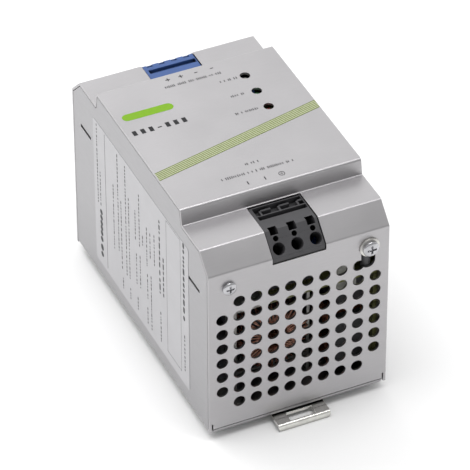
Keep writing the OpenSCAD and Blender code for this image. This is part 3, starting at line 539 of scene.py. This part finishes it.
def front_marks():
    """The dark marks: plain strokes for the wording, signs for the poles, blocks for the type."""
    dice = random.Random(7)
    page = front_page()
    for x, y in PLUS_SIGNS:
        page.box(x, y, 1.9, SIGN_STROKE)
        page.box(x, y, SIGN_STROKE, 1.9, INK_UNDER_T)
    for x, y in MINUS_SIGNS:
        page.box(x, y, 1.3, SIGN_STROKE)
    for x0, x1, y, height in FRONT_WORDING:
        page.strokes(x0, x1, y, height, dice)
    for x, y in POLE_MARKS:
        page.box(x, y, 0.45, 1.9)
    for points in ring(1.15, 0.25):
        page.shape(EARTH_X, EARTH_Y, points)
    for y, length in EARTH_BARS:
        page.box(EARTH_X, y, length, 0.16, INK_UNDER_T)
    page.box(EARTH_X, EARTH_Y + 0.5, 0.16, 0.6, INK_UNDER_T)
    for i in range(BLOCKS):
        x = BLOCK_X + i * BLOCK_PITCH
        if i == BLOCK_DASH:
            page.box(x, 10.0, 1.7, 0.55)
        else:
            page.box(x, 10.2, 1.7, 2.9)
    page.done("front_print_dark", INK_DARK)


def band(name, material, offsets, width, depth):
    """Slanting stripes from side to side of the face, at offsets from the band's middle."""
    reach = HALF_W - BAND_INSET
    rise = reach * BAND_SLOPE
    page = front_page()
    for offset in offsets:
        page.shape(0, BAND_Y + offset, [(-reach, -rise - width / 2), (reach, rise - width / 2),
                                        (reach, rise + width / 2), (-reach, -rise + width / 2)],
                   depth)
    page.done(name, material)


def front_print():
    """All ink on the front face."""
    front_marks()
    mark = front_page()
    mark.bar(-24.2, 20.5, 21.4, 4.2)
    mark.done("front_mark_green", INK_GREEN)
    band("stripe_ground", INK_PALE, [0], BAND_GROUND_W, INK_T * 0.5)
    band("stripe_lines", INK_OLIVE, BAND_LINES, BAND_LINE_W, INK_T * 2)


# Lines of small print on the rating label: place along the case, upper end and lower end
LABEL_LINES = [
    (40.6, 77, 38), (38.0, 55, 38), (25.0, 58, 25), (20.4, 76, 28), (17.5, 55, 21),
    (12.9, 75.5, 21), (9.9, 62, 21.5), (3.6, 60.5, 46), (-0.3, 71, 45), (3.0, 39.5, 23.5),
    (-0.6, 41, 23.5), (2.3, 18, 11.5), (-3.4, 53, 48), (-7.4, 60, 41), (-10.7, 59.5, 47),
    (-14.7, 61.5, 46), (-7.6, 37, 24.5), (-11.1, 38.5, 11), (-7.3, 20, 11), (-20.1, 27.5, 12.5),
    (-42.8, 33, 15), (16.8, 17, 11.5), (9.6, 17, 11.5),
]
# Lines of bolder print, with their width as a fourth number
LABEL_BOLD = [(-19.8, 72.5, 36.5, 1.1), (-23.2, 56.5, 37, 1.0), (-42.5, 78, 40, 1.5),
              (37.8, 36, 12, 2.6)]
LABEL_BOX_Y, LABEL_BOX_Z = (-39.5, -26.4), (12.6, 77.2)
LABEL_RULE_Y = 32.6
FILM_T, FILM_GAP, FILM_CORNER = 0.12, 0.01, 1.2


def rating_label():
    """Silver film with plain grey dashes for its print, a rule and a ruled box."""
    dice = random.Random(11)
    low, high = corners_mm("rating_label")
    page_axes = (low.x, 0, 0), (0, 0, -1), (0, 1, 0)
    skin = Print(*page_axes)
    for y, top, bottom in LABEL_LINES:
        skin.dashes(-top, -bottom, y, 0.75, dice, mean=1.2, gap=0.4)
    for y, top, bottom, width in LABEL_BOLD:
        skin.dashes(-top, -bottom, y, width, dice, mean=2.2, gap=0.6)
    skin.done("label_print", INK_LABEL)
    rules = Print(*page_axes)
    rules.box(-(high.z + low.z) / 2 - 0.5, LABEL_RULE_Y, high.z - low.z - 3, 0.32)
    for y in LABEL_BOX_Y:
        rules.box(-sum(LABEL_BOX_Z) / 2, y, LABEL_BOX_Z[1] - LABEL_BOX_Z[0], 0.2)
    for z in LABEL_BOX_Z:
        rules.box(-z, sum(LABEL_BOX_Y) / 2, 0.2, LABEL_BOX_Y[1] - LABEL_BOX_Y[0])
    rules.done("label_rules", INK_LABEL)
    r, steps = FILM_CORNER, 5
    outline = []
    for y, z, start in ((high.y - r, high.z - r, 0), (low.y + r, high.z - r, 90),
                        (low.y + r, low.z + r, 180), (high.y - r, low.z + r, 270)):
        for i in range(steps + 1):
            a = math.radians(start + i * 90 / steps)
            outline.append((y + r * math.cos(a), z + r * math.sin(a)))
    bm = bmesh.new()
    flat_outline(bm, outline, Vector((low.x + FILM_T - FILM_GAP, 0, 0)), Vector((0, 1, 0)),
                 Vector((0, 0, 1)), -(FILM_T - 2 * FILM_GAP))
    bmesh.ops.recalc_face_normals(bm, faces=bm.faces)
    piece = piece_from("label_film", bm, LOOKS["label_film"])
    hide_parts("rating_label")


# ---- Windings, spring and solder ----

def tube_loop(bm, path, r, sides=8, closed=True):
    """A tube along a path of points; path is a closed loop unless told otherwise."""
    count = len(path)
    rings = []
    for i, point in enumerate(path):
        before = path[i - 1] if closed or i else path[0]
        after = path[(i + 1) % count] if closed or i < count - 1 else path[-1]
        along = (after - before).normalized()
        reference = Vector((0, 0, 1)) if abs(along.z) < 0.9 else Vector((0, 1, 0))
        side = along.cross(reference).normalized()
        lift = side.cross(along)
        rings.append([bm.verts.new(point + (side * math.cos(a) + lift * math.sin(a)) * r)
                      for a in (2 * math.pi * k / sides for k in range(sides))])
    pairs = list(zip(rings, rings[1:])) + ([(rings[-1], rings[0])] if closed else [])
    for first, second in pairs:
        for k in range(sides):
            j = (k + 1) % sides
            bm.faces.new((first[k], first[j], second[j], second[k]))
    if not closed:
        bm.faces.new(rings[0][::-1])
        bm.faces.new(rings[-1])


def rounded_loop(half_u, half_v, r, steps=5):
    """Points of a rectangle with round corners, as (u, v)."""
    points = []
    for su, sv, start in ((1, 1, 0), (-1, 1, 90), (-1, -1, 180), (1, -1, 270)):
        for i in range(steps + 1):
            a = math.radians(start + 90 * i / steps)
            points.append((su * (half_u - r) + r * math.cos(a),
                           sv * (half_v - r) + r * math.sin(a)))
    return points


COIL_WIRE = 0.9
COIL_HALF_Z = 4.2
COIL_LAYER = 0.85


def coil(bm, middle, half_x, half_z, length, corner, dice):
    """Turns side by side along Y, each a loop with round corners and outer size half_x, half_z."""
    turns = int(length / (COIL_WIRE * 1.03))
    for t in range(turns):
        y = middle.y + length * ((t + 0.5) / turns - 0.5)
        shrink = COIL_WIRE / 2 + abs(dice.gauss(0, 0.05))
        path = [Vector((middle.x + u, y, middle.z + v))
                for u, v in rounded_loop(half_x - shrink, half_z - shrink, corner)]
        tube_loop(bm, path, COIL_WIRE / 2 * 0.98)


def filter_windings():
    """Two coils of two layers each, at the lower and the upper end of the filter choke."""
    low, high = corners_mm("filter_choke_windings")
    dice = random.Random(3)
    bm = bmesh.new()
    middle = (low + high) / 2
    half_x, length = (high.x - low.x) / 2, high.y - low.y - 0.4
    for z in (low.z + COIL_HALF_Z, high.z - COIL_HALF_Z):
        centre = Vector((middle.x, middle.y, z))
        coil(bm, centre, half_x, COIL_HALF_Z, length, 1.4, dice)
        coil(bm, centre, half_x - COIL_LAYER, COIL_HALF_Z - COIL_LAYER, length, 0.9, dice)
    piece = piece_from("filter_coils", bm, LOOKS["enamel_copper"], smooth=60)
    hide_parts("filter_choke_windings")


def line_choke():
    """Two crossed layers of enamelled wire round the line choke's ring, whose axis is along Y."""
    low, high = corners_mm("pfc_choke_winding")
    middle = (low + high) / 2
    inner, outer, width = 6.4, 13.1, 12.4
    turns, wire = 40, 0.62
    dice = random.Random(5)
    bm = bmesh.new()
    for layer, lean in enumerate((0.10, -0.14)):
        gap = wire * (0.55 + layer)
        for t in range(turns):
            spin = 2 * math.pi * (t + 0.5 * layer) / turns + dice.uniform(-0.012, 0.012)
            path = []
            for u, v in rounded_loop((outer - inner) / 2 + gap, width / 2 + gap, wire * 1.1, 3):
                radius = (inner + outer) / 2 + u
                angle = spin + lean * v / (width / 2) * (0.4 if u < 0 else 1.0)
                path.append(Vector((middle.x + radius * math.cos(angle), middle.y + v,
                                    middle.z + radius * math.sin(angle))))
            tube_loop(bm, path, wire / 2 * 0.97, sides=6)
    piece = piece_from("line_choke_turns", bm, ENAMEL_ROSE, smooth=60)
    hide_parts("pfc_choke_winding")


SPRING_WIRE, SPRING_TURNS, SPRING_STEPS = 0.5, 10, 20


def spring():
    """The foot's spring as one helix with closed ends."""
    low, high = corners_mm("foot_spring")
    centre = (low + high) / 2
    wire, turns = SPRING_WIRE, SPRING_TURNS
    r = (high.x - low.x) / 2 - wire / 2
    path = []
    for i in range(turns * SPRING_STEPS + 1):
        turn = i / SPRING_STEPS
        along = min(max((turn - 1) / (turns - 2), 0), 1)
        closed_low, closed_high = min(turn, 1) * wire, max(turn - turns + 1, 0) * wire
        y = low.y + wire / 2 + closed_low + along * (high.y - low.y - 3 * wire) + closed_high
        angle = 2 * math.pi * turn
        path.append(Vector((centre.x + r * math.cos(angle), y, centre.z + r * math.sin(angle))))
    bm = bmesh.new()
    tube_loop(bm, path, wire / 2, closed=False)
    piece = piece_from("foot_spring_wire", bm, LOOKS["spring_steel"],
                       smooth=60)
    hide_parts("foot_spring")
    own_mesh(piece)


SOLDERED = ("x_capacitor", "varistor", "inrush_limiter", "filter_choke_core", "bridge_rectifier",
            "bulk_capacitors", "control_chips", "output_capacitors", "output_choke")
CONE_BASE, CONE_TIP, CONE_H = 0.95, 0.35, 0.7


def solder_joints():
    """Solder on the board's back: eight small cones behind each through-hole part."""
    low, high = corners_mm("main_board")
    dice = random.Random(21)
    bm = bmesh.new()
    for name in SOLDERED:
        part_low, part_high = corners_mm(name)
        size_y, size_z = part_high.y - part_low.y, part_high.z - part_low.z
        for i in range(4):
            for j in range(2):
                y = part_low.y + size_y * (0.18 + 0.21 * i) + dice.uniform(-0.2, 0.2)
                z = part_low.z + size_z * (0.3 + 0.4 * j) + dice.uniform(-0.2, 0.2)
                z = min(z, high.z - 2)
                made = bmesh.ops.create_cone(bm, segments=12, radius1=CONE_BASE,
                                             radius2=CONE_TIP, depth=CONE_H)
                turn = (Matrix.Translation((high.x + 0.34, y, z))
                        @ Matrix.Rotation(math.radians(90), 4, "Y"))
                bmesh.ops.transform(bm, matrix=turn, verts=made["verts"])
    piece_from("solder_joints", bm, SOLDER, smooth=50)


# ---- Main ----

# Nodes shown as softened copies, with the width of the bevel
REFINED = {
    "front_hood": 0.16, "chassis": 0.14, "hood_screws": 0.12, "earth_screw": 0.14,
    "earth_washer": 0.1, "input_housing": 0.12, "output_housing": 0.12, "foot_slider": 0.12,
    "rail_hooks": 0.12, "foot_guides": 0.1, "chassis_rivets": 0.2, "trimmer_rotor": 0.08,
    "trimmer_body": 0.15,
}
for node_name, edge in REFINED.items():
    refined(node_name, edge)
for node_name in frame["nodes"]:
    if node_name not in REFINED:
        kept(node_name)
front_print()
rating_label()
filter_windings()
line_choke()
spring()
solder_joints()


# ---- Studio ----

FLOOR_HALF, FLOOR_DROP = 2600, 0.05


def pale_floor():
    """A pale floor just under the object."""
    bm = bmesh.new()
    bmesh.ops.create_grid(bm, x_segments=8, y_segments=8, size=FLOOR_HALF)
    bmesh.ops.translate(bm, verts=bm.verts, vec=(0, 0, cad_box[0][2] / MM - FLOOR_DROP))
    bmesh.ops.scale(bm, vec=(MM, MM, MM), verts=bm.verts)
    mesh = bpy.data.meshes.new("floor")
    bm.to_mesh(mesh)
    bm.free()
    floor = bpy.data.objects.new("floor", mesh)
    bpy.context.scene.collection.objects.link(floor)
    mesh.materials.append(Shader("floor_pale").finish((0.86, 0.86, 0.86, 1), 0.85))


def softbox(name, place, size, power):
    """A soft rectangular light, in metres, that looks at the object's middle."""
    target = Vector((0, 0, 0.04))
    light = bpy.data.lights.new(name, "AREA")
    light.shape = "RECTANGLE"
    light.size, light.size_y = size
    light.energy = power
    obj = bpy.data.objects.new(name, light)
    bpy.context.scene.collection.objects.link(obj)
    obj.location = place
    obj.rotation_euler = (target - Vector(place)).to_track_quat("-Z", "Y").to_euler()


def studio_world(front, rear):
    """White surroundings, dimmer in front of the object and brighter behind it."""
    world = bpy.data.worlds.new("studio")
    world.use_nodes = True
    nodes, links = world.node_tree.nodes, world.node_tree.links
    direction = nodes.new("ShaderNodeTexCoord").outputs["Generated"]
    split = nodes.new("ShaderNodeSeparateXYZ")
    links.new(direction, split.inputs[0])
    level = nodes.new("ShaderNodeMapRange")
    level.interpolation_type = "SMOOTHSTEP"
    links.new(split.outputs["Y"], level.inputs["Value"])
    for socket, value in (("From Min", -0.9), ("From Max", 0.9), ("To Min", front),
                          ("To Max", rear)):
        level.inputs[socket].default_value = value
    nodes["Background"].inputs["Color"].default_value = (1, 1, 1, 1)
    links.new(level.outputs[0], nodes["Background"].inputs["Strength"])
    bpy.context.scene.world = world


# The camera, solved from the case's corners in the photo: angles in degrees, place and lens in mm
CAMERA_AZIMUTH, CAMERA_HEIGHT, CAMERA_ROLL = -24.56, 38.86, -0.17
CAMERA_PLACE = (-499.49, -1099.92, 1011.5)
CAMERA_LENS, CAMERA_SENSOR = 303.65, 36
CAMERA_RANGE = 20


def photo_camera():
    """The camera that sees the object as the photo does."""
    azimuth, height, roll = (math.radians(a)
                             for a in (CAMERA_AZIMUTH, CAMERA_HEIGHT, CAMERA_ROLL))
    back = Vector((math.sin(azimuth) * math.cos(height), -math.cos(azimuth) * math.cos(height),
                   math.sin(height)))
    level = Vector((0, 0, 1)).cross(back).normalized()
    upright = back.cross(level)
    right = level * math.cos(roll) + upright * math.sin(roll)
    up = upright * math.cos(roll) - level * math.sin(roll)
    data = bpy.data.cameras.new("camera")
    data.lens = CAMERA_LENS
    data.sensor_width = CAMERA_SENSOR
    data.clip_end = CAMERA_RANGE
    camera = bpy.data.objects.new("camera", data)
    bpy.context.scene.collection.objects.link(camera)
    pose = Matrix((right, up, back)).transposed().to_4x4()
    pose.translation = Vector(CAMERA_PLACE) * MM
    camera.matrix_world = pose
    bpy.context.scene.camera = camera


pale_floor()
softbox("overhead_strip", (-0.1, -0.15, 1.3), (1.3, 0.35), 9)
softbox("back_bank", (-0.5, 1.5, 1.3), (1.6, 1.0), 12)
studio_world(0.53, 1.17)
photo_camera()
bpy.context.scene.view_settings.view_transform = "Standard"
